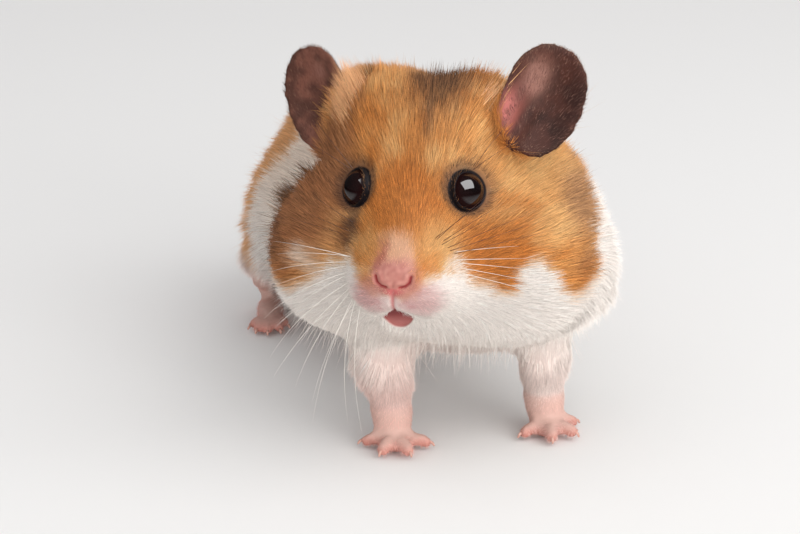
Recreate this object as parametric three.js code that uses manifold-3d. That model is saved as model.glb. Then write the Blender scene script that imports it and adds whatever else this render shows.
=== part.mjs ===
// A Syrian hamster, life size, standing on all fours with its head turned to its own right.
// Millimetres, +Z up. The body lies along Y with its front at -Y, and its left side is at +X.
// Ellipsoid masses that melt into each other give one surface, out to the tips of the coat,
// and thin cuts part that surface into the sub-parts.

import * as THREE from "three";
import { mergeVertices } from "three/addons/utils/BufferGeometryUtils.js";
import Module from "manifold-3d";

const wasm = await Module();
wasm.setup();

// Driving dimensions
const gap = 0.3; // between sub-parts that meet
const hipY = 76; // hips behind the line of the forefeet
const hipHalfWidth = 34;
const backTop = 64;
const bellyBottom = 10.5;
const rumpEnd = 110;
const shoulderY = 16;
const shoulderHalfWidth = 32;
const forefootX = 15.8;
const hindfootX = 25.4;
const hindfootY = 82;
const eyeHeight = 55;
const eyeX = 9.7; // eyeball centre, from the head's midline
const eyeRadius = 3.9;
const muzzleX = -0.7; // the muzzle points a little to the animal's right of the midline between the eyes
const eyesMiddle = [-13.9, -5.4, eyeHeight]; // the point midway between the eyes
const headTurn = -27; // degrees about Z, to the animal's own right
const headLean = -2; // degrees, its right side lower
const legCut = 6.6; // height of the cuts at wrist and ankle

// Finishes
const goldenFur = { color: 0xc98540, roughness: 0.9, metalness: 0 };
const paleFur = { color: 0xe9e2d8, roughness: 0.9, metalness: 0 };
const earSkin = { color: 0x59403b, roughness: 0.75, metalness: 0 };
const pinkSkin = { color: 0xe3a59b, roughness: 0.6, metalness: 0 };
const eyeGloss = { color: 0x0a0605, roughness: 0.08, metalness: 0 };
const clawHorn = { color: 0xe8d6c8, roughness: 0.4, metalness: 0 };

// Frames
const { degToRad } = THREE.MathUtils;
const bodyFrame = new THREE.Matrix4();

// A frame inside another: moved to a place, then turned about Z, leant about Y and pitched about X.
function placed(frame, at, { turn = 0, lean = 0, pitch = 0 } = {}) {
  return frame
    .clone()
    .multiply(new THREE.Matrix4().makeTranslation(...at))
    .multiply(new THREE.Matrix4().makeRotationZ(degToRad(turn)))
    .multiply(new THREE.Matrix4().makeRotationY(degToRad(lean)))
    .multiply(new THREE.Matrix4().makeRotationX(degToRad(pitch)));
}

// The head's frame has its origin midway between the eyes.
const headFrame = placed(bodyFrame, eyesMiddle, { turn: headTurn, lean: headLean });

// Solids

// A closed geometry, set in a frame, as a manifold solid.
function solid(geometry, frame = bodyFrame) {
  const bare = geometry.clone().applyMatrix4(frame);
  bare.deleteAttribute("normal");
  bare.deleteAttribute("uv");
  const merged = mergeVertices(bare, 1e-4);
  const vertProperties = new Float32Array(merged.attributes.position.array);
  const triVerts = new Uint32Array(merged.index.array);
  return new wasm.Manifold(new wasm.Mesh({ numProp: 3, vertProperties, triVerts }));
}

const joined = (solids) => solids.reduce((all, next) => all.add(next));
const without = (body, cutters) => cutters.reduce((left, cutter) => left.subtract(cutter), body);
const bothSides = (make) => [-1, 1].map(make);

function ellipsoid(frame, radii, sides = 20, rings = 14) {
  return solid(new THREE.SphereGeometry(1, sides, rings).scale(...radii), frame);
}

// All that lies in front of a plane, which passes across the frame through a point at y and z.
function inFront(frame, [y, z], lean, shift = 0) {
  const reach = 300;
  const block = new THREE.BoxGeometry(reach, reach, reach).translate(0, shift - reach / 2, 0);
  return solid(block, placed(frame, [0, y, z], { pitch: lean }));
}

function below(height) {
  const reach = 300;
  return solid(new THREE.BoxGeometry(reach, reach, reach).translate(0, 0, height - reach / 2));
}

// Masses: ellipsoids that are joined softly

const mass = (frame, at, radii, angles) => ({ inverse: placed(frame, at, angles).invert(), radii });

// Distance from a point to one mass, nearly, and negative inside it.
function distanceTo({ inverse, radii }, point) {
  const p = point.clone().applyMatrix4(inverse);
  const [a, b, c] = radii;
  const depth = Math.hypot(p.x / a, p.y / b, p.z / c);
  const slope = Math.hypot(p.x / a ** 2, p.y / b ** 2, p.z / c ** 2);
  return (depth * (depth - 1)) / slope;
}

function distanceToAll(masses, softness, point) {
  return masses
    .map((one) => distanceTo(one, point))
    .reduce((near, next) => {
      const overlap = Math.max(softness - Math.abs(near - next), 0) / softness;
      return Math.min(near, next) - (overlap ** 2 * softness) / 4;
    });
}

// A closed surface over masses: each vertex of a ball comes in from far away until it meets them.
// The ball's poles lie front and back, and crowding above 1 draws its rings to the front pole.
function surfaceOver(masses, { frame, centre, sides, rings, softness, crowding = 1, swell = 0 }) {
  const farAway = 160;
  const steps = 70;
  const ball = new THREE.SphereGeometry(1, sides, rings);
  const position = ball.attributes.position;
  const middle = new THREE.Vector3(...centre).applyMatrix4(frame);
  for (let i = 0; i < position.count; i++) {
    const unit = new THREE.Vector3().fromBufferAttribute(position, i);
    const fromFront = Math.acos(THREE.MathUtils.clamp(-unit.y, -1, 1)) / Math.PI;
    const polar = Math.PI * fromFront ** crowding;
    const around = Math.atan2(unit.z, unit.x);
    const direction = new THREE.Vector3(
      Math.sin(polar) * Math.cos(around),
      -Math.cos(polar),
      Math.sin(polar) * Math.sin(around),
    ).transformDirection(frame);
    let reach = farAway;
    for (let step = 0; step < steps; step++) {
      const point = middle.clone().addScaledVector(direction, reach);
      reach -= 0.9 * (distanceToAll(masses, softness, point) - swell);
    }
    const met = middle.clone().addScaledVector(direction, reach);
    position.setXYZ(i, met.x, met.y, met.z);
  }
  return solid(ball);
}

// A limb: round sections along a smooth path through stations, domed at both ends.
function limb(frame, stations, sides, rings) {
  const path = new THREE.CatmullRomCurve3(stations.map(({ at }) => new THREE.Vector3(...at)));
  const girth = new THREE.SplineCurve(stations.map(({ radius }, i) => new THREE.Vector2(i, radius)));
  const ball = new THREE.SphereGeometry(1, sides, rings);
  const position = ball.attributes.position;
  for (let i = 0; i < position.count; i++) {
    const unit = new THREE.Vector3().fromBufferAttribute(position, i);
    const share = THREE.MathUtils.clamp((1 + unit.y) / 2, 0, 1);
    const dome = Math.sqrt(Math.max(1 - unit.y ** 8, 0));
    const along = path.getTangent(share);
    const side = new THREE.Vector3(1, 0, 0).addScaledVector(along, -along.x).normalize();
    const over = new THREE.Vector3().crossVectors(side, along);
    const around = Math.atan2(unit.z, unit.x);
    const radius = girth.getPoint(share).y * dome;
    const met = path
      .getPoint(share)
      .addScaledVector(side, radius * Math.cos(around))
      .addScaledVector(over, radius * Math.sin(around));
    position.setXYZ(i, met.x, met.y, met.z);
  }
  return solid(ball, frame);
}

// Head masses, in the head's frame

const headMasses = [
  mass(headFrame, [0, 15.5, -1], [20, 17.5, 18.5]), // braincase
  mass(headFrame, [0, 4, -3.5], [10.5, 13, 8.5], { pitch: 35 }), // brow
  mass(headFrame, [0.6 * muzzleX, -3.5, -11], [8.6, 12.2, 7.6], { pitch: 22 }), // snout
  mass(headFrame, [0, 1.5, -21.5], [11, 9.5, 6.5]), // lower jaw
  mass(headFrame, [0, 14, -22], [23, 17, 13]), // throat
  ...bothSides((side) => mass(headFrame, [muzzleX + side * 4.8, -6.5, -16.5], [5.8, 7.3, 5.4])), // whisker pads
  ...bothSides((side) => mass(headFrame, [side * 15.2, 11, -16.5], [16.3, 16, 16.5])), // cheeks
  ...bothSides((side) => mass(headFrame, [side * 11, 16, 9.5], [8.5, 9, 9])), // roots of the ears
];

// Trunk and neck masses, in the body's frame: the back is narrower than the flanks

const trunkMasses = [
  mass(bodyFrame, [0, 50, 40], [21, 44, backTop - 40]), // back
  mass(bodyFrame, [0, 50, 30], [hipHalfWidth - 3, 45, 30 - bellyBottom]), // flanks and belly
  mass(bodyFrame, [0, hipY, 35], [hipHalfWidth - 8, rumpEnd - hipY, 25.5]), // rump
  ...bothSides((side) => mass(bodyFrame, [side * 18, hipY + 2, 25], [15.5, 22, 15])), // thighs
  mass(bodyFrame, [2, shoulderY, 40], [shoulderHalfWidth - 6, 26, 22.5]), // shoulders
  mass(bodyFrame, [3, shoulderY - 3, 30], [shoulderHalfWidth - 3, 18, 12.5]), // chest
];
const neckMasses = [
  mass(bodyFrame, [-1, 10, 46], [29, 19, 20.5]), // neck
  mass(bodyFrame, [9, 4, 34], [23, 16, 14]), // left side of the neck, stretched by the turned head
];

const headShape = { frame: headFrame, centre: [0, 9, -10], sides: 33, rings: 24, softness: 5.5, crowding: 1.25 };
const trunkShape = { frame: bodyFrame, centre: [0, 52, 34], sides: 23, rings: 17, softness: 8 };
const headCoat = surfaceOver([...headMasses, ...neckMasses], headShape);
const trunkCoat = surfaceOver([...trunkMasses, ...neckMasses], trunkShape);
const headCoatSwollen = surfaceOver([...headMasses, ...neckMasses], { ...headShape, swell: gap });
const trunkCoatSwollen = surfaceOver([...trunkMasses, ...neckMasses], { ...trunkShape, swell: gap });

// Legs: each is a limb that ends in a splayed foot, whose soles are cut flat at floor level

const foreToes = [
  { root: [1.6, 0.4], angle: 104, length: 5.3, radius: 1.35 },
  { root: [1.4, -1.6], angle: 40, length: 4.6, radius: 1.45 },
  { root: [-0.4, -2], angle: -10, length: 4.9, radius: 1.45 },
  { root: [-1.8, -0.6], angle: -68, length: 5.2, radius: 1.35 },
];
const hindToes = [
  { root: [2.2, -5], angle: 34, length: 3.8, radius: 1.05 },
  { root: [1.7, -6], angle: 13, length: 5.3, radius: 1.15 },
  { root: [0.1, -6.6], angle: 2, length: 5.6, radius: 1.15 },
  { root: [-1.6, -6], angle: -10, length: 5.2, radius: 1.15 },
  { root: [-2.3, -4.6], angle: -32, length: 3.5, radius: 1.05 },
];
const foreClaw = 1.1;
const hindClaw = 1.5;

// A toe runs out from the foot at an angle from straight ahead, outward being positive.
function toe(foot, side, { root, angle, length, radius }) {
  const frame = placed(foot, [side * root[0], root[1], 0], { turn: side * angle });
  const base = { at: [0, 0, radius + 0.9], radius: radius * 0.95 };
  const knuckle = { at: [0, -0.5 * length, radius + 0.8], radius };
  const tip = { at: [0, -length, 0.8 * radius], radius: radius * 0.95 };
  return limb(frame, [base, knuckle, tip], 6, 5);
}

// A claw starts clear of its toe's tip and curves down.
function claw(foot, side, { root, angle, length, radius }, clawLength) {
  const frame = placed(foot, [side * root[0], root[1], 0], { turn: side * angle });
  const start = -length - gap;
  const base = { at: [0, start, 1.25 * radius], radius: 0.42 };
  const bend = { at: [0, start - 0.6 * clawLength, 1.15 * radius], radius: 0.36 };
  const tip = { at: [0, start - clawLength, 0.5 * radius], radius: 0.26 };
  return limb(frame, [base, bend, tip], 5, 4);
}

// One side's limbs, from inside the body down to the toes, in frames at the middles of the feet.
function limbsOf(side) {
  const forefoot = placed(bodyFrame, [side * forefootX, 0, 0]);
  const hindfoot = placed(bodyFrame, [side * hindfootX, hindfootY, 0], { turn: side * 12 });
  const foreleg = [
    { at: [side * 1.5, 13, 30], radius: 11 },
    { at: [side * 0.8, 8.5, 20], radius: 8.8 },
    { at: [side * 0.2, 4.5, 11], radius: 5 },
    { at: [0, 2.4, 4.6], radius: 3.9 },
    { at: [0, 1, 1.6], radius: 3.4 },
  ];
  const hindleg = [
    { at: [-side * 2, -3, 22], radius: 9 },
    { at: [0, 4, 13], radius: 6.5 },
    { at: [0, 8.6, 5.5], radius: 3.3 },
    { at: [0, 8.6, 2.2], radius: 2.5 },
  ];
  const palm = ellipsoid(placed(forefoot, [0, 0, 1.9]), [4, 4, 2.3], 10, 6);
  const sole = ellipsoid(placed(hindfoot, [0, 1, 1.9]), [3.2, 10, 2.3], 10, 8);
  const foreToeSolids = foreToes.map((shape) => toe(forefoot, side, shape));
  const hindToeSolids = hindToes.map((shape) => toe(hindfoot, side, shape));
  return {
    side,
    name: side < 0 ? "right" : "left",
    forefoot,
    hindfoot,
    fore: joined([limb(forefoot, foreleg, 12, 9), palm, ...foreToeSolids]),
    hind: joined([limb(hindfoot, hindleg, 10, 8), sole, ...hindToeSolids]),
  };
}

// The part of the coat that belongs to a leg
const forelegRegion = (side, extra) =>
  ellipsoid(placed(bodyFrame, [side * 17, 9.5, 12]), [12 + extra, 13 + extra, 15 + extra], 11, 7);
const hindlegRegion = (side, extra) =>
  ellipsoid(placed(bodyFrame, [side * 26, hipY + 5, 16]), [14 + extra, 20 + extra, 17 + extra], 12, 8);

// Ears: thin cupped ovals, set in the head's frame

const earLong = 10.8; // half its height
const earWide = 7.9; // half its width
const earThick = 1.5;
const earCup = 3.2; // how far its middle lies behind its rim
const earPlace = (side) =>
  side > 0
    ? placed(headFrame, [23.4, 11.3, 14.7], { turn: 12, lean: 20, pitch: -20 })
    : placed(headFrame, [-22.4, 15, 13], { turn: -22, lean: -17, pitch: -8 });

function ear(side) {
  const ball = new THREE.SphereGeometry(1, 16, 8).rotateX(Math.PI / 2);
  const position = ball.attributes.position;
  for (let i = 0; i < position.count; i++) {
    const [across, up, face] = [position.getX(i), position.getZ(i), position.getY(i)];
    const hollow = earCup * (1 - across ** 2 - up ** 2) * (1 - 0.2 * up);
    const thickness = (earThick / 2) * Math.cbrt(face);
    position.setXYZ(i, earWide * (1 + 0.08 * up) * across, hollow + thickness, earLong * up);
  }
  return solid(ball, earPlace(side)).subtract(headCoatSwollen);
}

// Eyes, nose and mouth, in the head's frame

const eyeball = (side, extra = 0) =>
  ellipsoid(placed(headFrame, [side * eyeX, 0.9, -0.7]), Array(3).fill(eyeRadius + extra), 12, 9);

const nosePad = (extra = 0) =>
  ellipsoid(
    placed(headFrame, [muzzleX, -13.6, -13.4], { pitch: 20 }),
    [3.3 + extra, 2.4 + extra, 2.1 + extra],
    12,
    8,
  );

// The open mouth is a small notch with its point up, under the middle of the upper lip.
function mouthNotch() {
  const wedge = new THREE.CylinderGeometry(3.4, 1.2, 8, 3).scale(1.15, 1, 1);
  return solid(wedge, placed(headFrame, [muzzleX, -9.5, -22.6], { pitch: 78 }));
}

// Tail: a short stub that points back

const tailStations = [
  { at: [0, rumpEnd - 7, 26], radius: 4 },
  { at: [0, rumpEnd + 1, 24], radius: 2.6 },
  { at: [0, rumpEnd + 8, 24.5], radius: 1.3 },
];
const tail = limb(bodyFrame, tailStations, 8, 8);

// Parting

const headCut = { at: [2, 24 - eyeHeight], lean: -34 };
const neckCut = { at: [13, 24], lean: -34 };
const headSide = (shift = 0) => inFront(headFrame, headCut.at, headCut.lean, shift);
const neckSide = (shift = 0) => inFront(bodyFrame, neckCut.at, neckCut.lean, shift);
const floor = below(0);
const limbs = bothSides(limbsOf);
const coat = joined([headCoat, trunkCoat, ...limbs.flatMap(({ fore, hind }) => [fore, hind])]);
const aboveFeet = coat.subtract(below(legCut + gap));
const behindHead = aboveFeet.subtract(headSide(gap));
const legRegions = bothSides((side) => [forelegRegion(side, gap), hindlegRegion(side, gap)]).flat();
const torso = without(behindHead, legRegions);
const faceCuts = [...bothSides((side) => eyeball(side, gap)), nosePad(gap), mouthNotch()];

// The model

const group = new THREE.Group();

function add(name, manifold, finish) {
  const { vertProperties, triVerts } = manifold.getMesh();
  const geometry = new THREE.BufferGeometry();
  geometry.setAttribute("position", new THREE.BufferAttribute(new Float32Array(vertProperties), 3));
  geometry.setIndex(new THREE.BufferAttribute(new Uint32Array(triVerts), 1));
  geometry.computeVertexNormals();
  const mesh = new THREE.Mesh(geometry, new THREE.MeshStandardMaterial(finish));
  mesh.name = name;
  group.add(mesh);
}

add("head", without(aboveFeet.intersect(headSide()), faceCuts), goldenFur);
add("nose", nosePad(), pinkSkin);
add("neck", torso.intersect(neckSide()), paleFur);
add("trunk", torso.subtract(neckSide(gap)), goldenFur);
add("tail", tail.subtract(trunkCoatSwollen), pinkSkin);
for (const { side, name, forefoot, hindfoot, fore, hind } of limbs) {
  add(`ear_${name}`, ear(side), earSkin);
  add(`eye_${name}`, eyeball(side), eyeGloss);
  add(`foreleg_${name}`, behindHead.intersect(forelegRegion(side, 0)), paleFur);
  add(`hindleg_${name}`, behindHead.intersect(hindlegRegion(side, 0)), goldenFur);
  add(`forepaw_${name}`, fore.intersect(below(legCut)).subtract(floor), pinkSkin);
  add(`hindpaw_${name}`, hind.intersect(below(legCut)).subtract(floor), pinkSkin);
  foreToes.forEach((shape, i) => add(`foreclaw_${name}_${i + 1}`, claw(forefoot, side, shape, foreClaw), clawHorn));
  hindToes.forEach((shape, i) => add(`hindclaw_${name}_${i + 1}`, claw(hindfoot, side, shape, hindClaw), clawHorn));
}

// The origin is on the floor, under the middle of the whole animal.
const middle = new THREE.Box3().setFromObject(group).getCenter(new THREE.Vector3());
group.position.set(-middle.x, -middle.y, 0);

export default group;
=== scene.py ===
import math
import bmesh
import bpy
import numpy as np
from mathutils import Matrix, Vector
from mathutils.bvhtree import BVHTree
from mathutils.kdtree import KDTree


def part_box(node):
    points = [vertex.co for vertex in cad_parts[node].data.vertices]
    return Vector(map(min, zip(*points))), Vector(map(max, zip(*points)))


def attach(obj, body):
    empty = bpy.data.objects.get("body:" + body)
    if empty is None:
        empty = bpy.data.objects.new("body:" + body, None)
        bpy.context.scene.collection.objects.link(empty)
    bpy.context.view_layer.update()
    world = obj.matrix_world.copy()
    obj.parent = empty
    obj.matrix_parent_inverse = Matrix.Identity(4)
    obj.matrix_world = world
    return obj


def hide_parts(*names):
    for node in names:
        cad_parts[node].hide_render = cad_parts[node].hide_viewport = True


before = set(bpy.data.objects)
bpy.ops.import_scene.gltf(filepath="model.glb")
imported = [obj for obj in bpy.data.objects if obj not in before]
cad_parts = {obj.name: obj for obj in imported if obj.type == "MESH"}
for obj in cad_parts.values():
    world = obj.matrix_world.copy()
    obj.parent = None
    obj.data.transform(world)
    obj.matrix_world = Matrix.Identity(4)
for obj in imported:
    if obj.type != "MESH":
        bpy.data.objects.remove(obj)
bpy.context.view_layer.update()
millimetre = 0.001
sides = ("right", "left")


# Small helpers

def unit(vectors):
    return vectors / np.maximum(np.linalg.norm(vectors, axis=-1, keepdims=True), 1e-9)


def dot(first, second):
    return np.sum(first * second, axis=-1)


def reachFrom(points, place):
    return np.linalg.norm(points - place, axis=1)


def bothSides(*parts):
    return [part + "_" + side for part in parts for side in sides]


def ramp(low, high, value):
    share = np.clip((value - low) / (high - low), 0, 1)
    return share * share * (3 - 2 * share)


def bell(value, width):
    return np.exp(-(value / width) ** 2)


def mixed(first, second, share):
    share = np.asarray(share)[..., None] if np.ndim(share) else share
    return first + (np.asarray(second) - first) * share


# Even noise from 0 to 1: a lattice of random numbers, read between its points.
def softNoise(points, size, seed):
    cells = 32
    table = np.random.default_rng(seed).random((cells, cells, cells))
    place = points / size
    corner = np.floor(place).astype(int)
    part = place - corner
    part = part * part * (3 - 2 * part)
    total = np.zeros(len(points))
    for x, y, z in np.ndindex(2, 2, 2):
        weight = np.abs(1 - x - part[:, 0]) * np.abs(1 - y - part[:, 1]) * np.abs(1 - z - part[:, 2])
        index = (corner + (x, y, z)) % cells
        total += weight * table[index[:, 0], index[:, 1], index[:, 2]]
    return total


def noiseVector(points, size, seed):
    return np.stack([softNoise(points, size, seed + i) for i in range(3)], axis=1) * 2 - 1


# From colours as they look on a screen to amounts of light
def linear(colour):
    colour = np.asarray(colour, float)
    return np.where(colour <= 0.04045, colour / 12.92, ((colour + 0.055) / 1.055) ** 2.4)


# Landmarks: the frames of the head and ears come from the solids

def pointsOf(mesh, what="co"):
    points = np.empty(len(mesh.vertices) * 3)
    mesh.vertices.foreach_get(what, points)
    return points.reshape(-1, 3) / (millimetre if what == "co" else 1)


def nodeBox(name):
    return np.array(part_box(name)) / millimetre


def nodeMiddle(name):
    return nodeBox(name).sum(0) / 2


earNodes = bothSides("ear")
pawNodes = bothSides("forepaw", "hindpaw")
bareNodes = ["nose", "tail"] + earNodes + pawNodes
flesh = ["head", "nose", "neck", "trunk", "tail"] + earNodes + bothSides("foreleg", "hindleg") + pawNodes
eyeMiddle = {side: nodeMiddle("eye_" + side) for side in sides}
headOrigin = (eyeMiddle["left"] + eyeMiddle["right"]) / 2
headX = unit(eyeMiddle["left"] - eyeMiddle["right"])
headY = unit(np.array([-headX[1], headX[0], 0]))
headAxes = np.array([headX, headY, np.cross(headX, headY)])
noseTip = nodeMiddle("nose")


def eyeRadius(side):
    low, high = nodeBox("eye_" + side)
    return (high[2] - low[2]) / 2


def toHead(points):
    return (points - headOrigin) @ headAxes.T


def fromHead(points):
    return np.asarray(points, float) @ headAxes + headOrigin


def headVector(vector):
    return np.asarray(vector, float) @ headAxes


# An ear's axes run across it towards the other ear, out of its hollow face, and up it.
def earFrame(side):
    points = pointsOf(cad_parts["ear_" + side].data)
    middle = (points.min(0) + points.max(0)) / 2
    spread = np.linalg.svd(points - points.mean(0), full_matrices=False)[2]
    up = spread[0] * np.sign(spread[0][2])
    face = spread[2] * np.sign(-dot(spread[2], headY))
    return middle, np.array([np.cross(up, face) * (-1 if side == "left" else 1), face, up])


earFrames = {side: earFrame(side) for side in sides}
earHalf = np.array((8, 1, 10.8)) # half the width and half the height of an ear
earReach = 14 # what is nearer than this to an ear's middle may belong to it


def toEar(points, side):
    middle, axes = earFrames[side]
    return (points - middle) @ axes.T


def fromEar(points, side):
    middle, axes = earFrames[side]
    return points @ axes + middle


# Meshes

def intoScene(made):
    bpy.context.scene.collection.objects.link(made)
    return made


def finished(name, mesh, material):
    mesh.materials.clear()
    mesh.materials.append(material)
    mesh.polygons.foreach_set("use_smooth", np.ones(len(mesh.polygons), bool))
    made = intoScene(bpy.data.objects.new(name, mesh))
    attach(made, "root")
    return made


def makeObject(name, points, faces, material):
    mesh = bpy.data.meshes.new(name)
    size = faces.shape[1]
    mesh.vertices.add(len(points))
    mesh.vertices.foreach_set("co", (points * millimetre).astype(np.float32).ravel())
    mesh.loops.add(faces.size)
    mesh.loops.foreach_set("vertex_index", faces.astype(np.int32).ravel())
    mesh.polygons.add(len(faces))
    mesh.polygons.foreach_set("loop_start", np.arange(0, faces.size, size, dtype=np.int32))
    mesh.update(calc_edges=True)
    return finished(name, mesh, material)


def setColours(mesh, colours):
    rgba = np.ones((len(colours), 4), np.float32)
    rgba[:, :3] = linear(np.clip(colours, 0, 1))
    mesh.color_attributes.new("coatColour", "FLOAT_COLOR", "POINT").data.foreach_set("color", rgba.ravel())


def edgesOf(mesh):
    edges = np.empty(len(mesh.edges) * 2, np.int32)
    mesh.edges.foreach_get("vertices", edges)
    return edges.reshape(-1, 2)


def setPoints(mesh, points):
    mesh.vertices.foreach_set("co", (points * millimetre).astype(np.float32).ravel())
    mesh.update()


# The mean of each point's neighbours
def nearMean(values, edges, counts):
    total = np.empty_like(values)
    first, second = edges.T
    for i in range(values.shape[1]):
        total[:, i] = np.bincount(first, values[second, i], len(values))
        total[:, i] += np.bincount(second, values[first, i], len(values))
    return total / counts[:, None]


# Values drawn towards those of their neighbours
def relaxed(values, edges, strength, rounds):
    counts = np.maximum(np.bincount(edges.ravel(), minlength=len(values)), 1)
    for _ in range(rounds):
        values = values + 0.5 * strength[:, None] * (nearMean(values, edges, counts) - values)
    return values


# Materials

def newMaterial(name):
    material = bpy.data.materials.new(name)
    material.use_nodes = True
    return material, material.node_tree.nodes, material.node_tree.links


def shaderOf(nodes, **values):
    shader = nodes["Principled BSDF"]
    for socket, value in values.items():
        shader.inputs[socket.replace("_", " ")].default_value = value
    return shader


def noiseNode(nodes, links, scale):
    place = nodes.new("ShaderNodeTexCoord")
    noise = nodes.new("ShaderNodeTexNoise")
    noise.inputs["Scale"].default_value = scale
    links.new(place.outputs["Object"], noise.inputs["Vector"])
    return noise


# A value brought from one range to another
def ranged(nodes, links, value, before, after):
    node = nodes.new("ShaderNodeMapRange")
    for socket, end in zip(("From Min", "From Max", "To Min", "To Max"), (*before, *after)):
        node.inputs[socket].default_value = end
    links.new(value, node.inputs["Value"])
    return node.outputs["Result"]


# Two colours, mingled by a noise
def mingled(nodes, links, scale, colours):
    tint = nodes.new("ShaderNodeValToRGB")
    for stop, colour in zip(tint.color_ramp.elements, colours):
        stop.color = (*linear(colour), 1)
    links.new(noiseNode(nodes, links, scale).outputs["Fac"], tint.inputs["Fac"])
    return tint.outputs["Color"]


def mingledMaterial(name, roughness, scale, colours):
    material, nodes, links = newMaterial(name)
    shader = shaderOf(nodes, Roughness=roughness)
    links.new(mingled(nodes, links, scale, colours), shader.inputs["Base Color"])
    return material


# The painted colour, darkened here and there by a fine noise
def speckledColour(nodes, links, scale, amount):
    colour = nodes.new("ShaderNodeAttribute")
    colour.attribute_name = "coatColour"
    noise = noiseNode(nodes, links, scale)
    noise.inputs["Detail"].default_value = 4
    scaled = nodes.new("ShaderNodeVectorMath")
    scaled.operation = "SCALE"
    links.new(colour.outputs["Color"], scaled.inputs[0])
    links.new(ranged(nodes, links, noise.outputs["Fac"], (0, 1), (1 - amount, 1)), scaled.inputs["Scale"])
    return scaled.outputs["Vector"], noise.outputs["Fac"]


# Markings: one account of the coat's colours, for the skin and the coat alike; a few of them are painted
# shade

markings = {
    "golden": (0.84, 0.57, 0.32),
    "orange": (0.79, 0.47, 0.21),
    "blond": (0.90, 0.70, 0.46),
    "brown": (0.63, 0.41, 0.27),
    "crown": (0.40, 0.27, 0.19),
    # dark fur round and below the eyes, and painted shade in the fold behind the right cheek
    "darkFurAndShade": (0.27, 0.20, 0.18),
    "grey": (0.69, 0.51, 0.36),
    "rump": (0.86, 0.62, 0.41),
    "band": (0.93, 0.83, 0.74),
    "earTuft": (0.95, 0.70, 0.50),
    "white": (0.955, 0.915, 0.88),
    "mauve": (0.80, 0.60, 0.59),
    "bridge": (0.90, 0.70, 0.58),
    "nosePink": (0.78, 0.53, 0.48),
    "pink": (0.90, 0.66, 0.61),
    "eyeRim": (0.09, 0.07, 0.08),
    # painted shade in the fold beside the nose, dark red
    "creaseShade": (0.68, 0.38, 0.32),
    "clouding": 0.65, # how far the golden face is clouded with blond and orange
    "edgeWander": 1.1, # how far the edges of a patch wander
    "bandFront": -20, # the white band over the back
    "bandBack": 14,
    "bandSlant": 9, # how much further back the band reaches low on the flank
    "bellyLine": 17, # height of the white on the flanks
    "muzzleMiddle": -0.7, # the muzzle's midline, in the head's frame
    "muzzleLean": 0.14, # and how fast it runs sideways below the nose
}

# Soft ellipsoids on the head: colour, middle, radii, strength, and softness of the edge
headPatches = (
    ("orange", (0, -6, -2), (8.5, 9, 6.5), 0.9),
    ("orange", (0.5, -1, 6), (2.6, 6, 8), 0.6),
    ("orange", (-9, 3, 9), (4, 8, 7), 0.5),
    ("blond", (10, 4, 6), (4.5, 8, 6), 0.35),
    ("blond", (20, 9, 0), (8, 9, 5), 0.6),
    ("blond", (24, 4, -8), (3.5, 6, 4), 0.7),
    ("blond", (-7, -8, -9), (4, 4, 3), 0.2),
    ("blond", (7.5, -9.5, -6.5), (5, 4, 4), 0.55, 0.6),
    ("brown", (-14, 8, 10), (4, 8, 7), 0.6),
    ("orange", (15, 9, 11), (4, 8, 5), 0.5),
    ("crown", (3.2, 17, 17), (5.5, 13, 8), 0.85, 0.7),
    ("crown", (2.5, 3, 11), (1.3, 5, 4.5), 0.4),
    ("brown", (-22, 6, -5), (13, 14, 15), 0.85),
    ("darkFurAndShade", (-9.8, -4, -6.3), (1.7, 3, 2.6), 0.7, 0.6),
    ("darkFurAndShade", (-11.3, -5, -9.2), (2.2, 3, 1.8), 0.6, 0.6),
    # Painted shade behind the right cheek, in the fold where the head meets the body
    ("darkFurAndShade", (-27, 6, -12), (4, 7, 6), 0.2),
    ("darkFurAndShade", (-20, 2, -9), (2.5, 4, 1.5), 0.25),
    ("white", (-19.5, -4, -12.6), (3.2, 3, 2.2), 0.6, 0.6),
    ("white", (-16.5, -5, -16), (2, 3, 2.6), 0.5, 0.6),
    ("orange", (14.5, -4, -12.5), (6, 5, 6.5), 0.95),
    ("grey", (28, 13, -6), (5.5, 9, 10), 0.85, 0.5),
    ("brown", (28, 6, -16), (2.2, 5, 2.6), 0.5, 0.6),
    ("bridge", (-0.7, -13, -9), (3.6, 5, 5), 0.85),
    ("nosePink", (-0.7, -14, -13.4), (5, 4, 3.6), 0.7),
    # Painted shade: a dark red patch in the fold beside the nose, on its right side only
    ("creaseShade", (-3.5, -13, -9.9), (1.0, 3, 2.6), 0.75, 0.6),
)

# Below this line, height against place across the head, the face is white
whiteLine = np.array([
    (-38, -22), (-30, -20), (-22, -18.5), (-17, -17), (-13, -12.5), (-10, -10.5), (-7.5, -13.5),
    (-4, -16), (2.5, -16), (5, -13.8), (7.8, -10.8), (10.2, -13), (15, -18.5), (17.5, -17.5), (19.5, -13.5),
    (21, -12.2), (23, -13), (24.2, -18), (25.2, -21), (28, -20.5), (33, -18), (38, -16),
])


def muzzleMiddle(height):
    return markings["muzzleMiddle"] + markings["muzzleLean"] * np.minimum(height + 14, 0)


# A soft ellipsoid: 1 in the middle, and 0 outside
def patch(points, middle, radii, soft=0.35):
    reach = np.linalg.norm((points - middle) / radii, axis=1)
    return 1 - ramp(1 - soft, 1 + soft, reach)


# How far back on the head, counted from further forward the lower it is
def headBack(inHead):
    return inHead[:, 1] - 0.25 * np.minimum(inHead[:, 2] + 6, 0)


# The head ends behind the cheeks and ears, and sooner low on its left.
def headShare(points):
    inHead = toHead(points)
    collar = 5.5 * ramp(-7, -14, inHead[:, 2]) * ramp(14, 24, inHead[:, 0])
    return (1 - ramp(16, 20, headBack(inHead) + collar)) * ramp(19, 24, points[:, 2])


def painted(name, points):
    return np.tile(np.array(markings[name], float), (len(points), 1))


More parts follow.
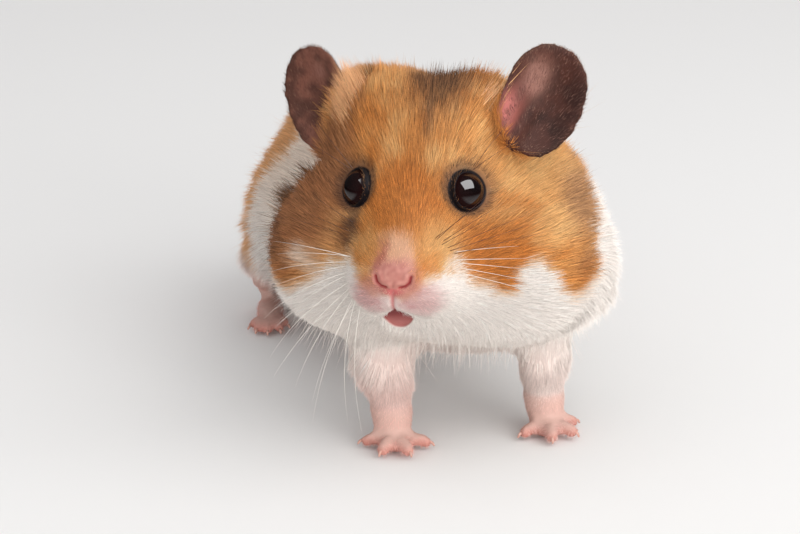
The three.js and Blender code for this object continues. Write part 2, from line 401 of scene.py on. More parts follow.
def faceColour(points):
    inHead = toHead(points)
    colour = painted("golden", points)
    cloud = 0.6 * softNoise(points, 2.4, 91) + 0.4 * softNoise(points, 0.9, 92)
    colour = mixed(colour, markings["blond"], markings["clouding"] * ramp(0.5, 0.72, cloud))
    colour = mixed(colour, markings["orange"], markings["clouding"] * ramp(0.46, 0.28, cloud))
    for name, middle, radii, strength, *soft in headPatches:
        colour = mixed(colour, markings[name], strength * patch(inHead, middle, radii, *soft))
    line = np.interp(inHead[:, 0], whiteLine[:, 0], whiteLine[:, 1])
    colour = mixed(colour, markings["white"], ramp(1.7, -1.7, inHead[:, 2] - line))
    for side in (-1, 1):
        middle = (muzzleMiddle(-16.5) + side * 4.2, -13, -16.5)
        mottle = 0.55 + 0.5 * softNoise(points, 1.1, 51)
        colour = mixed(colour, markings["mauve"], mottle * patch(inHead, middle, (3.6, 5, 3.8), 0.7))
    return colour


# Golden rump, back and nape; a white band over the shoulders; white belly; pink wrists, and more pink on
# the right foreleg as painted shade
def bodyColour(points):
    x, y, z = points.T
    bandBack = markings["bandBack"] + markings["bandSlant"] * ramp(46, 34, z)
    rump = ramp(-1.5, 1.5, y - bandBack)
    nape = ramp(1.5, -1.5, y - markings["bandFront"]) * ramp(49, 52, z)
    golden = np.max([rump, nape, ramp(54, 58, z)], axis=0)
    golden = golden * ramp(-2, 2, z - 0.12 * np.abs(x) - markings["bellyLine"])
    band = ramp(24, 40, z) * ramp(-26, -8, y) * 0.7
    colour = mixed(painted("white", points), markings["band"], band)
    back = mixed(np.array(markings["rump"]), markings["grey"], 0.7 * ramp(-24, -36, y) * ramp(5, 15, x))
    colour = mixed(colour, back, golden)
    # Pink low on the forelegs, and a second share of pink on the right side (x below 0): painted shade on
    # the foreleg away from the light
    wristPinkAndShade = (0.25 + 0.25 * ramp(2, -6, x)) * ramp(24, 12, z) + 0.5 * ramp(10, 5, z)
    return mixed(colour, markings["pink"], wristPinkAndShade)


# The whole coat: body and face, the patches' edges wandering, dark round the eyes
def coatColour(points):
    wander = noiseVector(points, 3.2, 11) * markings["edgeWander"] + noiseVector(points, 1.1, 21) * 0.4
    moved = points + wander
    colour = mixed(bodyColour(moved), faceColour(moved), headShare(moved))
    colour = mixed(colour, markings["darkFurAndShade"], 0.5 * ramp(2.4, 0.6, fromLids(points)))
    colour = mixed(colour, markings["eyeRim"], 0.9 * ramp(0.6, 0.2, fromLids(points)))
    return np.clip(colour, 0, 1)


# Shape of the coat: its length, its lift from the skin and the way it lies

coat = {
    "seed": 7,
    "faceLength": 1.5,
    "cheekLonger": 3.2, # than the face
    "collarLonger": 3.8, # than the cheeks
    "browShorter": 0.35, # shares from here to the next length
    "chinShorter": 0.4,
    "mouthShorter": 0.5,
    "chestShorter": 0.3,
    "lidsShorter": 0.6,
    "earsShorter": 0.5,
    "bodyLength": 8.5,
    "toeLength": 1.2,
    "legLength": 6.0,
    "faceWidth": 0.11,
    "bodyWidth": 0.24,
    "faceLift": 15, # degrees from the skin
    "bodyLift": 17,
    "legsFlatter": 0.45,
    "waves": ((0.22, 9, 31), (0.12, 2.5, 41)), # in the lie: strength, size in mm, seed
    "roundEyes": 1.2, # how strongly the coat turns away from the eyes
    "headDepth": 0.9, # of the coat, as a share of its mean height over the skin
    "bodyDepth": 1.8,
    "clumpSize": 1.7, # between the middles of neighbouring clumps
    "clumping": 0.4,
    "clumps": 0.07, # for each tuft
    "shade": 0.16, # how far tufts differ in lightness
    "ticking": 0.35, # share of tufts with dark tips, in the darkest colours
    "softNormals": 0.6, # how far tufts are shaded like the skin under them
    "foldTurn": 1.0, # how far the shading turns forwards behind the cheeks
    "lengthSpread": (0.7, 1.2), # least and most, as shares
    "liftSpread": (0.5, 1.5),
    "widthSpread": (0.7, 1.25),
    "laySpread": 0.10,
    "lightSpread": (0.6, 1.35), # the limits of what the shade does
    "colourSpread": 0.35, # how far a tuft may take its colour from
    "flatness": 0.35, # thickness of a tuft as a share of its width
    "sunk": 0.25, # how deep the roots lie in the skin
    "overFloor": 0.3, # the lowest a tip may hang
    "rootShade": 0.96,
    "tickShade": 0.5,
    "patchSize": 0.003, # of a tuft on the unwrap
}


def fromEyes(points):
    return np.min([reachFrom(points, eyeMiddle[side]) for side in sides], axis=0)


def fromLids(points):
    return fromEyes(points) - eyeRadius("left")


def legShare(points):
    y, z = points[:, 1], points[:, 2]
    return ramp(24, 15, z) * np.maximum(ramp(-24, -34, y), ramp(12, 20, y))


# Which way the coat lies: back from the nose, rearwards along the body, down the legs.
def layOf(points, normals):
    fromNose = unit(points - fromHead((0, -11, -15)))
    z = points[:, 2]
    back = np.tile((0.0, 1.0, -0.25), (len(points), 1))
    back[:, 2] -= 0.5 * ramp(45, 20, z) * ramp(14, 22, z)
    down = np.tile((0.0, 0.15, -1.0), (len(points), 1))
    chest = ramp(-28, -40, points[:, 1]) * ramp(44, 34, z)
    legs = legShare(points)
    lay = mixed(back, down, np.maximum(legs, 0.8 * chest))
    lay = mixed(lay, fromNose, headShare(points) * ramp(22, 32, z))
    for strength, size, seed in coat["waves"]:
        lay = lay + strength * noiseVector(points, size, seed)
    for side in sides:
        away = unit(points - eyeMiddle[side])
        beside = ramp(2.2, 0.5, reachFrom(points, eyeMiddle[side]) - eyeRadius(side))
        lay = lay + coat["roundEyes"] * away * beside[:, None]
    return unit(lay - normals * dot(lay, normals)[:, None])


# A value for the short coat of the face and one for the long coat of the body
def byLength(what, lengths):
    short, long = coat["face" + what], coat["body" + what]
    return short + (long - short) * ramp(1.5, 7, lengths)


# Degrees from the skin: less on the chest and the legs
def liftOf(points, lengths):
    lift = byLength("Lift", lengths)
    chest = ramp(-28, -38, points[:, 1]) * ramp(34, 26, points[:, 2])
    return lift * (1 - coat["legsFlatter"] * np.maximum(chest, legShare(points)))


# Shortest round the nose, mouth and eyes and on the feet, longest on the flanks and rump
def lengthOf(points):
    inHead = toHead(points)
    fromNose = reachFrom(points, noseTip)
    head = coat["faceLength"] + coat["cheekLonger"] * ramp(8, 30, fromNose)
    head = head + coat["collarLonger"] * ramp(26, 40, fromNose)
    head = head * (1 - coat["browShorter"] * ramp(4, 14, inHead[:, 2]))
    head = np.where(fromNose < 8, coat["faceLength"] * (0.55 + 0.45 * ramp(3, 8, fromNose)), head)
    z = points[:, 2]
    head = head * (1 - coat["chinShorter"] * ramp(34, 24, z) * ramp(14, 20, fromNose))
    fromMouth = reachFrom(inHead, (markings["muzzleMiddle"], -14, -21))
    head = head * (1 - coat["mouthShorter"] * ramp(5.5, 3.5, fromMouth))
    body = coat["bodyLength"] * (1 - coat["chestShorter"] * ramp(-20, -40, points[:, 1]))
    leg = coat["toeLength"] + (coat["legLength"] - coat["toeLength"]) * ramp(7, 20, z)
    body = body + (leg - body) * legShare(points)
    length = body + (head - body) * headShare(points)
    return length * (1 - coat["lidsShorter"] * ramp(9, 4.6, fromEyes(points)))


# Skin: all the flesh as one surface, drawn in by the depth of the coat

skinShape = {
    "voxel": 0.75,
    "swell": 0.25, # closes the gaps between the solids
    "smoothRounds": 90,
    "restoreRounds": 60,
    "hollowRounds": 250, # these fill the solids' mouth, which the skin shapes anew
    "deepest": 4.5,
    "earRootDepth": 1.0, # extra depth round the roots of the ears
    "kept": {"ear": 0.89, "foot": 0.985, "muzzle": 0.8, "eye": 0.85}, # how far spared by the smoothing
    "finerRounds": (3, 4), # smoothing after each refining of the face
}


# The solids of the flesh and eyes, swollen a little and made one
def fleshMesh():
    whole = bmesh.new()
    for name in flesh + bothSides("eye"):
        part = bmesh.new()
        part.from_mesh(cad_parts[name].data)
        bmesh.ops.remove_doubles(part, verts=part.verts, dist=0.005 * millimetre)
        bmesh.ops.recalc_face_normals(part, faces=part.faces)
        part.normal_update()
        normals = [vertex.normal.copy() for vertex in part.verts]
        for vertex, normal in zip(part.verts, normals):
            vertex.co += normal * skinShape["swell"] * millimetre
        mesh = bpy.data.meshes.new("part")
        part.to_mesh(mesh)
        part.free()
        whole.from_mesh(mesh)
        bpy.data.meshes.remove(mesh)
    mesh = bpy.data.meshes.new("flesh")
    whole.to_mesh(mesh)
    whole.free()
    body = intoScene(bpy.data.objects.new("flesh", mesh))
    remesh = body.modifiers.new("one surface", "REMESH")
    remesh.mode = "VOXEL"
    remesh.voxel_size = skinShape["voxel"] * millimetre
    bpy.context.view_layer.update()
    graph = bpy.context.evaluated_depsgraph_get()
    made = bpy.data.meshes.new_from_object(body.evaluated_get(graph))
    bpy.data.objects.remove(body)
    return made


# Cuts every edge in two where both its ends are chosen
def refine(mesh, chosen):
    work = bmesh.new()
    work.from_mesh(mesh)
    work.verts.ensure_lookup_table()
    edges = [edge for edge in work.edges if chosen[edge.verts[0].index] and chosen[edge.verts[1].index]]
    bmesh.ops.subdivide_edges(work, edges=edges, cuts=1, use_grid_fill=True, smooth=0)
    work.to_mesh(mesh)
    work.free()


nodeTrees = {}


# Distance from a solid's surface, and reach for all that lies further off
def distanceToNode(points, name, reach):
    if name not in nodeTrees:
        work = bmesh.new()
        work.from_mesh(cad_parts[name].data)
        nodeTrees[name] = BVHTree.FromBMesh(work)
        work.free()
    low, high = nodeBox(name)
    near = np.flatnonzero(np.all((points > low - reach) & (points < high + reach), axis=1))
    distance = np.full(len(points), reach, float)
    for i in near:
        found = nodeTrees[name].find_nearest(Vector(points[i] * millimetre))
        distance[i] = found[3] / millimetre
    return np.minimum(distance, reach)


# 1 on the named solids, out to start, and 0 from end
def nearness(points, names, start, end):
    distance = np.min([distanceToNode(points, name, end + 0.5) for name in names], axis=0)
    return ramp(end, start, distance)


# How far the coat stands over the skin
def coatDepth(points, bare):
    lengths = lengthOf(points)
    share = coat["bodyDepth"] + (coat["headDepth"] - coat["bodyDepth"]) * headShare(points)
    depth = share * lengths * np.sin(np.radians(liftOf(points, lengths)))
    depth = np.minimum(depth, skinShape["deepest"]) * (0.25 + 0.75 * ramp(4, 9, fromEyes(points)))
    depth = depth + skinShape["earRootDepth"] * nearness(points, earNodes, 1.5, 6)
    return depth * (1 - bare)


eyeShape = {
    "axis": (0.70, -0.60, 0.38), # outwards, in the head's frame, for the left eye
    "opening": 54, # degrees from the axis to the lid's edge
    "taller": 7,
    "corner": (0, -1, -0.3), # where the opening is drawn out
    "cornerReach": 8,
    "fuller": 0.2, # how far the ball bulges in front
    "fullerWidth": 0.7, # radians
    "lidGap": 0.08, # between the eyeball and the lid
    "lidRise": 0.2,
    "lidWidth": 3.5, # degrees, as the next two
    "lidMiddle": 3,
    "lidFade": 30,
    "behind": 0.9, # how far the skin stays behind the open eye
}


def eyeAxis(side):
    x, y, z = eyeShape["axis"]
    return unit(headVector((x if side == "left" else -x, y, z)))


# How far points lie outside the edge of an eye's opening, in degrees about the eyeball.
def pastLid(points, side):
    axis = eyeAxis(side)
    towards = unit(points - eyeMiddle[side])
    angle = np.degrees(np.arccos(np.clip(towards @ axis, -1, 1)))
    flat = unit(towards - axis * (towards @ axis)[:, None])
    corner = headVector(eyeShape["corner"])
    corner = unit(corner - axis * (corner @ axis))
    opening = eyeShape["opening"] + eyeShape["taller"] * (flat @ headVector((0, 0, 1))) ** 2
    return angle - opening - eyeShape["cornerReach"] * np.clip(flat @ corner, 0, 1) ** 2


# The skin stays behind the open eye, rolls up into a lid round it, and runs out to the face.
def withLids(points):
    for side in sides:
        middle, radius = eyeMiddle[side], eyeRadius(side)
        reach = reachFrom(points, middle)
        towards = unit(points - middle)
        past = pastLid(points, side)
        rise = eyeShape["lidRise"] * bell(past - eyeShape["lidMiddle"], eyeShape["lidWidth"])
        behind = radius - eyeShape["behind"]
        target = behind + (radius + eyeShape["lidGap"] + rise - behind) * ramp(-5, 1, past)
        share = ramp(eyeShape["lidFade"], 12, past) * ramp(radius + 3.5, radius + 1.5, reach)
        points = middle + towards * (reach + (target - reach) * share)[:, None]
    return points


noseShape = {
    "nostril": ((1.3, -14.1), (2.3, -13.9), (3.1, -13.2), (3.35, -12.2)), # from the midline, and up
    "nostrilWidth": 0.22,
    "nostrilDepth": 0.6,
    "wing": 0.9, # from the middle of a nostril to its raised wing
    "wingWidth": 0.45,
    "wingRise": 0.3,
    "philtrum": ((0, -15.2), (0, -19.4)),
    "philtrumWidth": 0.45,
    "philtrumDepth": 0.45,
    "lipWidth": 0.5,
    "lipDepth": 0.4,
    "lipLine": ((0, -19.2), (2.2, -21.4), (4.4, -22.8), (7.2, -22.5)),
    "mouthTop": -19.4,
    "mouthCorner": (3.1, -22.6),
    "mouthBottom": -25.6,
    "mouthDepth": 0.6,
}


# Distance from a line through the given places
def fromCurve(flat, curve):
    best = np.full(len(flat), 1e9)
    for start, end in zip(curve[:-1], curve[1:]):
        start, end = np.array(start, float), np.array(end, float)
        run = end - start
        share = np.clip(((flat - start) @ run) / (run @ run), 0, 1)
        best = np.minimum(best, np.linalg.norm(flat - start - share[:, None] * run, axis=1))
    return best


# Places on the muzzle: distance from its midline, and height.
def muzzleFlat(inHead):
    return np.stack([np.abs(inHead[:, 0] - muzzleMiddle(inHead[:, 2])), inHead[:, 2]], axis=1)


# The mouth is a small triangle with its point up and a round lower edge.
def mouthShare(inHead):
    x, z = muzzleFlat(inHead).T
    cornerX, cornerZ = noseShape["mouthCorner"]
    across = np.clip(x / cornerX, 0, 1)
    top = noseShape["mouthTop"] + (cornerZ - noseShape["mouthTop"]) * across ** 0.8
    bottom = noseShape["mouthBottom"] + (cornerZ - noseShape["mouthBottom"]) * across ** 2.5
    inside = ramp(0.25, -0.25, z - top) * ramp(-0.25, 0.25, z - bottom) * ramp(0.3, -0.1, x - cornerX)
    return inside * (inHead[:, 1] < 0)


# Nostrils, philtrum, lips and mouth are pressed into the muzzle, and the nostrils' wings raised.
def withMuzzle(points):
    inHead = toHead(points)
    flat = muzzleFlat(inHead)
    fromNostril = fromCurve(flat, noseShape["nostril"])
    fromPhiltrum = fromCurve(flat, noseShape["philtrum"])
    fromLips = fromCurve(flat, noseShape["lipLine"])
    wing = bell(fromNostril - noseShape["wing"], noseShape["wingWidth"]) * ramp(-14.6, -13.4, flat[:, 1])
    depth = noseShape["nostrilDepth"] * bell(fromNostril, noseShape["nostrilWidth"])
    depth -= noseShape["wingRise"] * wing
    depth += noseShape["philtrumDepth"] * bell(fromPhiltrum, noseShape["philtrumWidth"])
    depth += noseShape["lipDepth"] * bell(fromLips, noseShape["lipWidth"])
    depth += noseShape["mouthDepth"] * mouthShare(inHead)
    inHead[:, 1] += depth * (inHead[:, 1] < 0)
    return fromHead(inHead)


earShape = {
    "growth": {"left": 1.07, "right": 1.04}, # makes good what the smoothing takes off the rims
    "foldRise": 0.8,
    # Folds: place across the ear, lean, width, where they begin and are full, strength
    "folds": ((0.45, 0.15, 0.13, 0.45, -0.2, 1), (0.05, 0.3, 0.12, 0.1, -0.4, 0.7)),
}


# The ears are grown a little, and low folds run up their hollows from the base.
def withEars(points):
    for side in sides:
        near = nearness(points, ["ear_" + side], 0.9, 1.4)
        chosen = np.flatnonzero(near > 0)
        local = toEar(points[chosen], side)
        inner, _, up = (local / earHalf).T
        fold = 0
        for place, lean, width, top, full, strength in earShape["folds"]:
            fold = fold + strength * bell(inner - place + lean * up, width) * ramp(top, full, up)
        growth = earShape["growth"][side]
        grown = local * (growth, 1, growth) + np.outer(fold * earShape["foldRise"], (0, 1, 0))
        points[chosen] = mixed(points[chosen], fromEar(grown, side), near[chosen])
    return points


# The parts of the face that need a finer mesh
def nearFace(points):
    x, y, z = toHead(points).T
    muzzle = (np.abs(x) < 8.5) & (y < 1) & (z > -28) & (z < -9)
    return (fromEyes(points) < 7.2) | muzzle


# One surface, smoothed, drawn in by the depth of the coat, and finer and shaped on the face
def makeSkin():
    mesh = fleshMesh()
    points = before = pointsOf(mesh)
    kept = skinShape["kept"]
    bare = nearness(points, bareNodes, 0.5, 1.8)
    ears = kept["ear"] * nearness(points, earNodes, 0.5, 2.5)
    feet = kept["foot"] * nearness(points, pawNodes + ["tail"], 0.5, 3)
    muzzle = kept["muzzle"] * ramp(22, 9, reachFrom(points, noseTip))
    eyes = kept["eye"] * ramp(12, 6, fromEyes(points))
    loose = 1 - np.max([ears, feet, muzzle, eyes], axis=0)
    edges = edgesOf(mesh)
    points = relaxed(points, edges, loose, skinShape["smoothRounds"])
    setPoints(mesh, points)
    normals = pointsOf(mesh, "normal")
    mouth = fromHead((markings["muzzleMiddle"], -8.5, -22.3))
    hollow = ramp(5.2, 3.8, reachFrom(points, mouth))
    points = relaxed(points, edges, hollow, skinShape["hollowRounds"])
    # Smoothing shrinks round forms: what is lost broadly is given back
    everywhere = np.ones(len(points))
    lost = relaxed(dot(before - points, normals)[:, None], edges, everywhere, skinShape["restoreRounds"])
    points = points + normals * lost * (1 - hollow)[:, None]
    depth = coatDepth(points, bare) + skinShape["swell"]
    points = points - normals * relaxed(depth[:, None], edges, everywhere, 4)
    setPoints(mesh, points)
    for rounds in skinShape["finerRounds"]:
        refine(mesh, nearFace(pointsOf(mesh)))
        points = pointsOf(mesh)
        points = relaxed(points, edgesOf(mesh), nearFace(points).astype(float), rounds)
        setPoints(mesh, points)
    points = withEars(withMuzzle(withLids(points)))
    setPoints(mesh, relaxed(points, edgesOf(mesh), nearFace(points) * 0.5, 1))
    return mesh


bareColours = {
    # The ears' own colour is dark; the left is painted darker and the right lighter, painted shade and
    # light as it falls on each
    "ear": {"left": (0.272, 0.1462, 0.1116), "right": (0.476, 0.301, 0.2484)},
    "earPale": (0.60, 0.43, 0.38),
    "earPink": (0.76, 0.44, 0.41),
    # Clouds: colour, strength, place, size, and the mottling's least share and what it adds
    "earClouds": {
        "left": (("earPale", 1, (0.35, 0.35), (0.35, 0.4), (0.4, 1.2)),
                 ("earPink", 1, (0.75, -0.45), (0.35, 0.45), (0.5, 1))),
        "right": (("earPale", 0.6, (0.1, 0.5), (0.2, 0.15), (0.4, 1.2)),
                  ("earPink", 0.8, (0.85, -0.05), (0.2, 0.2), (0.5, 1))),
    },
    "nose": ((0.66, 0.42, 0.38), (0.76, 0.53, 0.48)),
    "nostril": (0.60, 0.24, 0.24),
    "nostrilWidth": 0.24,
    "underNose": (0.78, 0.38, 0.38),
    "philtrum": (0.74, 0.44, 0.43),
    "philtrumWidth": 0.35,
    "mouth": ((0.48, 0.20, 0.20), (0.68, 0.42, 0.40)), # its roof, and the lower lip
    "foot": ((0.82, 0.67, 0.62), (0.76, 0.50, 0.45)), # above, and at the toes
}


# Dark ears, clouded with pale and pink; the left ear painted darker than the right, as painted shade and
# light
def earColour(points, side):
    inner, _, up = (toEar(points, side) / earHalf).T
    colour = np.tile(bareColours["ear"][side], (len(points), 1))
    mottle = softNoise(points, 4, 61) * 0.6 + softNoise(points, 1.6, 62) * 0.4
    colour = mixed(colour, colour * 0.7, ramp(0.45, 0.7, mottle))
    for name, strength, place, (width, height), (least, more) in bareColours["earClouds"][side]:
        cloud = strength * bell(inner - place[0], width) * bell(up - place[1], height)
        colour = mixed(colour, bareColours[name], np.clip(cloud * (least + more * mottle), 0, 0.9))
    return colour


# Between a bare part's two colours
def between(name, share):
    return mixed(np.array(bareColours[name][0]), bareColours[name][1], share)


# The coat's colours, a little darker, and over them the bare parts
def skinColour(points):
    inHead = toHead(points)
    flat = muzzleFlat(inHead)
    front = inHead[:, 1] < 0
    nostril = bell(fromCurve(flat, noseShape["nostril"]), bareColours["nostrilWidth"])
    philtrum = bell(fromCurve(flat, noseShape["philtrum"]), bareColours["philtrumWidth"])
    underNose = patch(inHead, (markings["muzzleMiddle"], -15, -14.9), (2.0, 2, 0.9))
    layers = [
        (between("nose", softNoise(points, 0.7, 71)), nearness(points, ["nose"], 0.6, 2.2)),
        (bareColours["nostril"], nostril * front),
        (bareColours["underNose"], 0.7 * underNose * front),
        (bareColours["philtrum"], 0.8 * philtrum * front),
        (between("mouth", ramp(-21, -24.8, flat[:, 1])), mouthShare(inHead)),
        (between("foot", ramp(3.5, 1, points[:, 2])), nearness(points, pawNodes + ["tail"], 0.8, 2)),
    ]
    layers += [(earColour(points, side), nearness(points, ["ear_" + side], 0.9, 1.6)) for side in sides]
    layers.append((markings["eyeRim"], ramp(0.45, 0.2, fromLids(points))))
    colour = coatColour(points) * 0.9
    for over, share in layers:
        colour = mixed(colour, over, share)
    return colour


skinLooks = {
    "roughness": 0.6,
    "specular": 0.12,
    "grain": 900, # waves in a metre
    "grainShade": 0.18,
    "bump": 0.35,
    "bumpHeight": 0.0002,
}


def skinMaterial():
    material, nodes, links = newMaterial("skin")
    shader = shaderOf(nodes, Roughness=skinLooks["roughness"], Specular_IOR_Level=skinLooks["specular"])
    colour, noise = speckledColour(nodes, links, skinLooks["grain"], skinLooks["grainShade"])
    links.new(colour, shader.inputs["Base Color"])
    bump = nodes.new("ShaderNodeBump")
    bump.inputs["Strength"].default_value = skinLooks["bump"]
    bump.inputs["Distance"].default_value = skinLooks["bumpHeight"]
    links.new(noise, bump.inputs["Height"])
    links.new(bump.outputs["Normal"], shader.inputs["Normal"])
    return material


print("skin")
skinMesh = makeSkin()
skinMesh.name = "skin"
skin = finished("skin", skinMesh, skinMaterial())
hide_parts(*flesh)
skinPoints = pointsOf(skinMesh)
setColours(skinMesh, skinColour(skinPoints))
print("skin has", len(skinPoints), "vertices")


# Eyes: dark glossy balls, a little fuller over the opening

eyeLooks = {
    "pupil": (0.0021, (0.002, 0.001, 0.001)), # metres from the front of the eye, and colour there
    "iris": (0.0027, (0.012, 0.004, 0.004)),
    "shineEdge": (0.0028, 0.0033), # the wet shine stops short of the lids
    "shine": (0.9, 0.03),
}


def eyeMaterial(side):
    material, nodes, links = newMaterial("eye_" + side)
    shader = shaderOf(nodes, Roughness=0.03)
    place = nodes.new("ShaderNodeTexCoord")
    distance = nodes.new("ShaderNodeVectorMath")
    distance.operation = "DISTANCE"
    front = eyeMiddle[side] + eyeAxis(side) * eyeRadius(side)
    distance.inputs[1].default_value = tuple(front * millimetre)
    links.new(place.outputs["Object"], distance.inputs[0])
    fromFront = distance.outputs["Value"]
    rings = nodes.new("ShaderNodeValToRGB")
    for stop, (reach, colour) in zip(rings.color_ramp.elements, (eyeLooks["pupil"], eyeLooks["iris"])):
        stop.position = reach
        stop.color = (*colour, 1)
    links.new(fromFront, rings.inputs["Fac"])
    links.new(rings.outputs["Color"], shader.inputs["Base Color"])
    shine = ranged(nodes, links, fromFront, eyeLooks["shineEdge"], eyeLooks["shine"])
    links.new(shine, shader.inputs["Specular IOR Level"])
    return material


# A ball with its poles on the axis
def ballPoints(middle, axis, radius, turns=48, rings=32):
    side = unit(np.cross(axis, (0, 0, 1)))
    over = np.cross(side, axis)
    polar = np.linspace(0, math.pi, rings + 1)[1:-1]
    around = np.arange(turns) * 2 * math.pi / turns
    points = [middle + axis * (radius + eyeShape["fuller"])]
    for angle in polar:
        reach = radius + eyeShape["fuller"] * bell(angle, eyeShape["fullerWidth"])
        ring = np.outer(np.cos(around), side) + np.outer(np.sin(around), over)
        points.extend(middle + reach * (math.cos(angle) * axis + math.sin(angle) * ring))
    points.append(middle - axis * radius)
    faces = [(0, 1 + (i + 1) % turns, 1 + i) for i in range(turns)]
    for row in range(rings - 2):
        start = 1 + row * turns
        for i in range(turns):
            j = (i + 1) % turns
            faces.append((start + i, start + j, start + turns + j))
            faces.append((start + i, start + turns + j, start + turns + i))
    last = len(points) - 1
    start = last - turns
    faces.extend((start + i, start + (i + 1) % turns, last) for i in range(turns))
    return np.array(points), np.array(faces)


print("eyes")
for side in sides:
    points, faces = ballPoints(eyeMiddle[side], eyeAxis(side), eyeRadius(side))
    eye = makeObject("eyeball_" + side, points, faces, eyeMaterial(side))
    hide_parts("eye_" + side)


# Claws: the solids' own claws, rounded

clawShape = {
    "sunk": 0.75, # how far a claw is set back into its toe
    "colours": ((0.72, 0.53, 0.47), (0.80, 0.62, 0.56)),
}
clawNodes = [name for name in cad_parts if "claw_" in name]
pawMiddles = [Vector(nodeMiddle(name) * millimetre) for name in pawNodes]


def clawMaterial():
    return mingledMaterial("claw", 0.35, 1500, clawShape["colours"])


# Each claw is set back towards the middle of the nearest paw.
def makeClaws():
    work = bmesh.new()
    for name in clawNodes:
        first = len(work.verts)
        work.from_mesh(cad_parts[name].data)
        work.verts.ensure_lookup_table()
        claw = work.verts[first:]
        middle = sum((vertex.co for vertex in claw), Vector()) / len(claw)
        paw = min(pawMiddles, key=lambda place: (place - middle).length)
        inwards = (paw - middle) * Vector((1, 1, 0))
        for vertex in claw:
            vertex.co += inwards.normalized() * clawShape["sunk"] * millimetre
    bmesh.ops.remove_doubles(work, verts=work.verts, dist=0.005 * millimetre)
    mesh = bpy.data.meshes.new("claws")
    work.to_mesh(mesh)
    work.free()
    claws = finished("claws", mesh, clawMaterial())
    rounded = claws.modifiers.new("rounded", "SUBSURF")
    rounded.levels = rounded.render_levels = 2
    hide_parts(*clawNodes)


print("claws")
makeClaws()


# Coat: tufts rooted on the skin

def skinTriangles():
    skinMesh.calc_loop_triangles()
    corners = np.empty(len(skinMesh.loop_triangles) * 3, np.int32)
    skinMesh.loop_triangles.foreach_get("vertices", corners)
    return corners.reshape(-1, 3)


skinNormals = pointsOf(skinMesh, "normal")
skinCorners = skinTriangles()
cornerPoints = skinPoints[skinCorners]
triangleSides = cornerPoints[:, 1:] - cornerPoints[:, :1]
triangleArea = np.linalg.norm(np.cross(triangleSides[:, 0], triangleSides[:, 1]), axis=1) / 2
# Normals blurred over the folds of the skin, for the shading of the coat
broadNormals = unit(relaxed(skinNormals, edgesOf(skinMesh), np.ones(len(skinPoints)), 30))
fromNose = reachFrom(skinPoints, noseTip)
earShare = nearness(skinPoints, earNodes, 0.7, 1.3)
earNear = nearness(skinPoints, earNodes, 1.5, 7)
pawShare = nearness(skinPoints, pawNodes, 0.3, 2.5)


# Where the coat may grow: not on the nose, tail, eyes and mouth, nor under the paws
def coatOpen():
    share = 1 - nearness(skinPoints, ["nose", "tail"], 0.3, 1.0)
    lidOpen = np.min([ramp(1.5, 4.5, pastLid(skinPoints, side)) for side in sides], axis=0)
    share = share * np.maximum(lidOpen, ramp(0.2, 0.4, fromLids(skinPoints)))
    share = share * (1 - mouthShare(toHead(skinPoints)))
    return share * ramp(0.6, 1.6, skinPoints[:, 2])


openShare = coatOpen()


# Square millimetres of each triangle of the skin, times its weight
def weighedArea(weight):
    return triangleArea * weight[skinCorners].mean(1)


# Roots spread over the skin, with more of them where weight is high.
def spreadRoots(count, weight, rng):
    total = np.cumsum(weighedArea(weight))
    picks = (np.arange(count) + rng.random(count)) / count * total[-1]
    triangle = np.searchsorted(total, picks)
    first, second = rng.random((2, count))
    flip = first + second > 1
    first, second = np.where(flip, 1 - first, first), np.where(flip, 1 - second, second)
    shares = np.stack([1 - first - second, first, second], axis=1)
    chosen = skinCorners[triangle]

    def blend(values):
        return np.einsum("ij,ij...->i...", shares, values[chosen])

    return blend(skinPoints), unit(blend(skinNormals)), blend


# Tips drawn towards that of the nearest of a few leading tufts
def clumped(roots, tips, share):
    count = max(int(len(roots) * coat["clumps"]), 8)
    tree = KDTree(count)
    seeds = np.arange(count) * (len(roots) // count)
    for number, seed in enumerate(seeds):
        tree.insert(roots[seed], number)
    tree.balance()
    nearest = np.array([tree.find(root)[1] for root in roots])
    pull = tips[seeds[nearest]] - tips
    reach = np.linalg.norm(pull, axis=1)
    return tips + pull * (share * np.minimum(1, coat["clumpSize"] / np.maximum(reach, 1e-6)))[:, None]


furLooks = {
    "roughness": 0.7,
    "specular": 0.15,
    "grain": 1800,
    "grainShade": 0.12,
}


def coatMaterial():
    material, nodes, links = newMaterial("coat")
    shader = shaderOf(nodes, Roughness=furLooks["roughness"], Specular_IOR_Level=furLooks["specular"])
    colour, _ = speckledColour(nodes, links, furLooks["grain"], furLooks["grainShade"])
    links.new(colour, shader.inputs["Base Color"])
    return material


furMaterial = coatMaterial()


# Places on an unwrap of the skin: round and along the piece's own axis, filling the square.
def unwrapped(points, middle, axis, across):
    offset = points - middle
    along = offset @ axis
    other = np.cross(axis, across)
    around = np.arctan2(offset @ other, offset @ across)
    flat = np.stack([around, along], axis=1)
    low, high = flat.min(0), flat.max(0)
    return 0.01 + 0.98 * (flat - low) / np.maximum(high - low, 1e-6)


